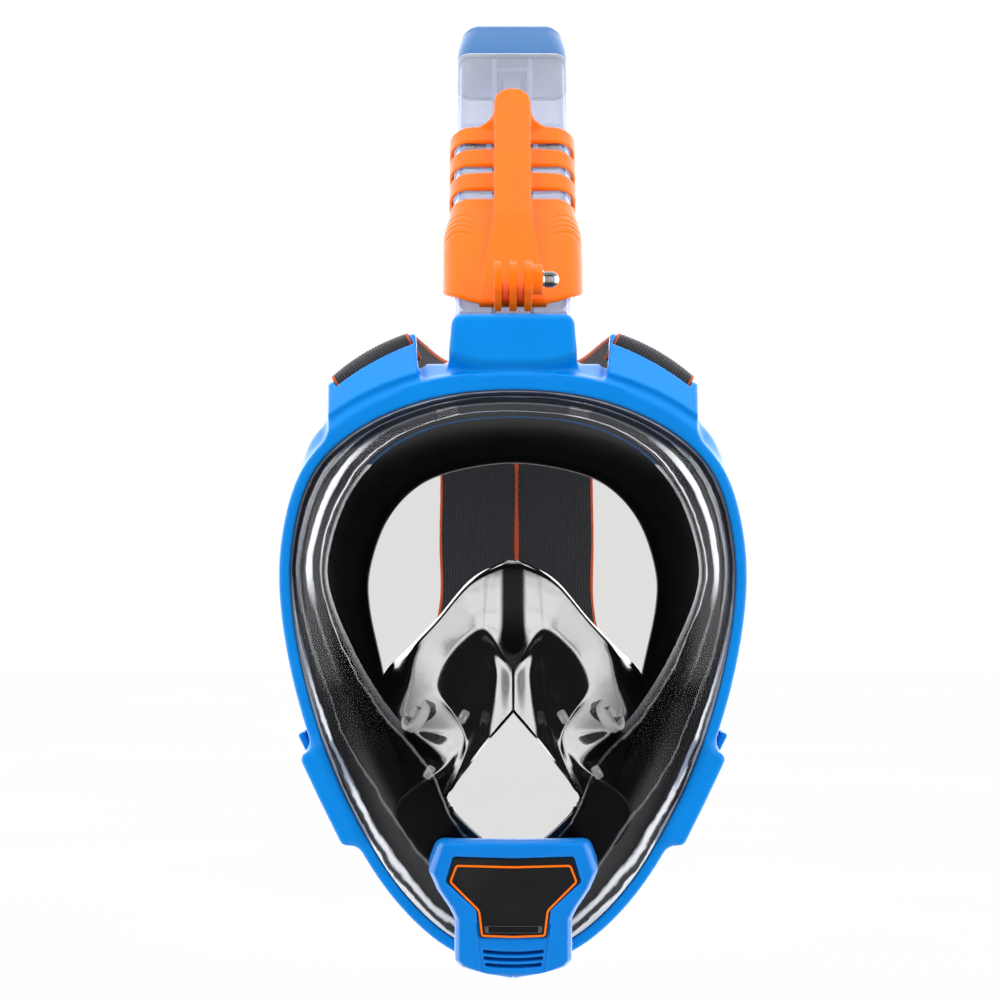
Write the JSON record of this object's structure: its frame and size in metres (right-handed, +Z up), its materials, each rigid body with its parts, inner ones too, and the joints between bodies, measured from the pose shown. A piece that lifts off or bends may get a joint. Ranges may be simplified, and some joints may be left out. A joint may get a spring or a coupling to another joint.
{
  "type": "full-face snorkel mask",
  "caption": "Full-face snorkel mask with a clear lens, silicone skirt, dry-top snorkel, clip-on camera holder and head harness.",
  "frame": {"origin": "middle of the face opening, in the plane where the skirt seals against the face", "axes": "+Z up the face, +Y back towards the wearer's head, +X to the wearer's left"},
  "size_m": [0.188, 0.2431, 0.3953],
  "materials": {
    "blue_plastic": "satin",
    "orange_plastic": "matte",
    "black_plastic": "gloss",
    "clear_plastic": "gloss",
    "smoke_plastic": "gloss",
    "silicone": "gloss",
    "clear_silicone": "gloss",
    "float_foam": "matte",
    "webbing": "woven",
    "stitching": "thread",
    "nut_metal": "polished"
  },
  "bodies": {
    "mask": {"frame": "blue_plastic", "skirt_retainer": "black_plastic", "lens": "clear_plastic", "face_skirt": "silicone", "nose_pocket": "silicone", "pocket_clips": "clear_plastic", "inhale_seat_left": "clear_plastic", "inhale_seat_right": "clear_plastic", "chin_housing": "blue_plastic", "chin_plate": "black_plastic", "chin_trim": "orange_plastic", "drain_seat": "black_plastic", "strap_left": "webbing", "strap_right": "webbing", "back_stitching": "stitching"},
    "snorkel": {"snorkel_tube": "clear_plastic", "tube_divider": "clear_plastic", "socket_gasket": "silicone", "exhaust_seat": "smoke_plastic", "inlet_seat": "smoke_plastic", "snorkel_cap": "blue_plastic"},
    "holder": {"camera_holder": "orange_plastic", "camera_nut": "nut_metal"},
    "snorkel_float": {"float": "float_foam", "float_pad": "silicone"},
    "exhaust_valve_left": {"exhaust_flap_left": "silicone"},
    "exhaust_valve_right": {"exhaust_flap_right": "silicone"},
    "inhale_valve_left": {"inhale_flap_left": "clear_silicone"},
    "inhale_valve_right": {"inhale_flap_right": "clear_silicone"},
    "drain_valve": {"drain_flap": "clear_silicone"},
    "left_buckle": {"buckle_left": "blue_plastic", "strap_tail_left": "webbing"},
    "right_buckle": {"buckle_right": "blue_plastic", "strap_tail_right": "webbing"}
  },
  "joints": [
    {"name": "snorkel_pull", "type": "slide", "parent": "mask", "child": "snorkel", "axis": [0, 0.6428, 0.766], "range_m": [0, 0.018]},
    {"name": "holder_slide", "type": "slide", "parent": "snorkel", "child": "holder", "axis": [0, 0.6428, 0.766], "range_m": [0, 0.03]},
    {"name": "float_rise", "type": "slide", "parent": "snorkel", "child": "snorkel_float", "axis": [0, 0.6428, 0.766], "range_m": [0, 0.008]},
    {"name": "exhaust_left_lift", "type": "slide", "parent": "snorkel", "child": "exhaust_valve_left", "axis": [0, 0.6428, 0.766], "range_m": [0, 0.0012], "stiffness_N_per_m": 20},
    {"name": "exhaust_right_lift", "type": "slide", "parent": "snorkel", "child": "exhaust_valve_right", "axis": [0, 0.6428, 0.766], "range_m": [0, 0.0012], "stiffness_N_per_m": 20},
    {"name": "inhale_left_open", "type": "slide", "parent": "mask", "child": "inhale_valve_left", "axis": [-0.7999, 0.4003, -0.4471], "range_m": [0, 0.0012], "stiffness_N_per_m": 20},
    {"name": "inhale_right_open", "type": "slide", "parent": "mask", "child": "inhale_valve_right", "axis": [0.7999, 0.4003, -0.4471], "range_m": [0, 0.0012], "stiffness_N_per_m": 20},
    {"name": "drain_open", "type": "slide", "parent": "mask", "child": "drain_valve", "axis": [0, -0.9848, -0.1736], "range_m": [0, 0.0015], "stiffness_N_per_m": 20},
    {"name": "left_buckle_release", "type": "slide", "parent": "mask", "child": "left_buckle", "axis": [0, 1, 0], "range_m": [0, 0.024]},
    {"name": "right_buckle_release", "type": "slide", "parent": "mask", "child": "right_buckle", "axis": [0, 1, 0], "range_m": [0, 0.024]}
  ]
}
